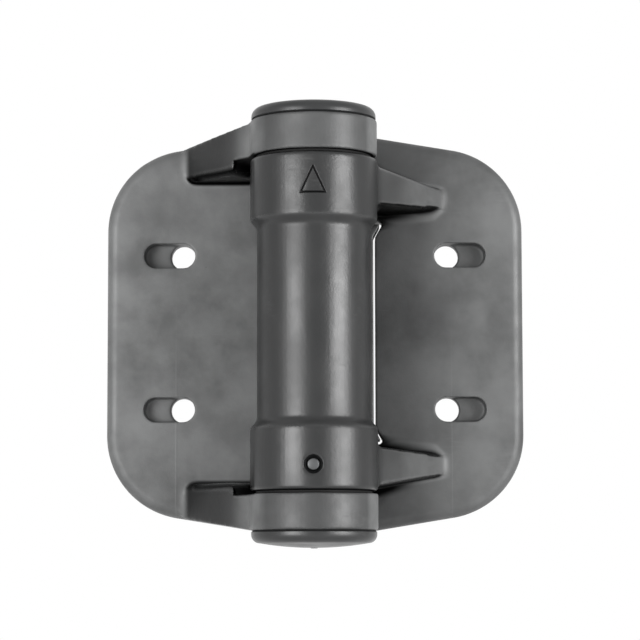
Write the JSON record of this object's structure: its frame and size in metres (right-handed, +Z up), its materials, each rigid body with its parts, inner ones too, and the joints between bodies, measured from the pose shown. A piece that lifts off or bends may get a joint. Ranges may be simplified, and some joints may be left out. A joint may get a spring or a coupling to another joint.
{
  "type": "self-closing gate hinge",
  "caption": "Face-fixed self-closing gate hinge: post leaf with end rings, gate leaf with a spring barrel, tension adjuster under a snap-in cap.",
  "frame": {"origin": "middle of the post leaf's two screw holes, on the leaf's flat back face", "axes": "+X across the hinge from the post to the gate, +Y from the viewer's side into the post, +Z up along the pivot. The pivot axis stands at x 34.9 mm, y -30 mm"},
  "size_m": [0.11, 0.0463, 0.114],
  "materials": {
    "leaf_polymer": "satin moulded black glass-filled polymer",
    "cap_polymer": "smooth satin black polymer",
    "seal_rubber": "matt black rubber",
    "adjuster_alloy": "cast alloy, satin",
    "stainless_steel": "satin stainless steel",
    "spring_steel": "drawn stainless spring wire",
    "bearing_acetal": "natural acetal"
  },
  "bodies": {
    "post": {"post_leaf": "leaf_polymer", "lock_ring": "stainless_steel", "adjuster_clip": "spring_steel", "lower_bush": "bearing_acetal", "upper_thrust_washer": "bearing_acetal", "lower_thrust_washer": "bearing_acetal", "top_cap_seal": "seal_rubber", "bottom_cap_seal": "seal_rubber"},
    "gate": {"gate_leaf": "leaf_polymer", "upper_bush": "bearing_acetal", "torsion_spring": "spring_steel", "lower_spring_seat": "stainless_steel", "spring_mandrel": "stainless_steel", "lower_pivot": "adjuster_alloy", "pivot_washer": "stainless_steel", "pivot_clip": "spring_steel", "anchor_pin": "stainless_steel"},
    "adjuster": {"tension_adjuster": "adjuster_alloy", "upper_spring_seat": "stainless_steel"},
    "top_cap": {"top_cap": "cap_polymer"},
    "bottom_cap": {"bottom_cap": "cap_polymer"}
  },
  "joints": [
    {"name": "gate_swing", "type": "hinge", "parent": "post", "child": "gate", "pos_m": [0.0349, -0.03, 0], "axis": [0, 0, -1], "range_deg": [0, 180], "stiffness_Nm_per_rad": 0.5, "springref_deg": -89.95, "deforming": ["torsion_spring"]},
    {"name": "adjuster_press", "type": "slide", "parent": "post", "child": "adjuster", "axis": [0, 0, -1], "range_m": [0, 0.0025], "stiffness_N_per_m": 4000, "springref_m": -0.005, "deforming": ["torsion_spring"]},
    {"name": "top_cap_lift", "type": "slide", "parent": "post", "child": "top_cap", "axis": [0, 0, 1], "range_m": [0, 0.012]},
    {"name": "bottom_cap_pull", "type": "slide", "parent": "post", "child": "bottom_cap", "axis": [0, 0, -1], "range_m": [0, 0.012]}
  ]
}
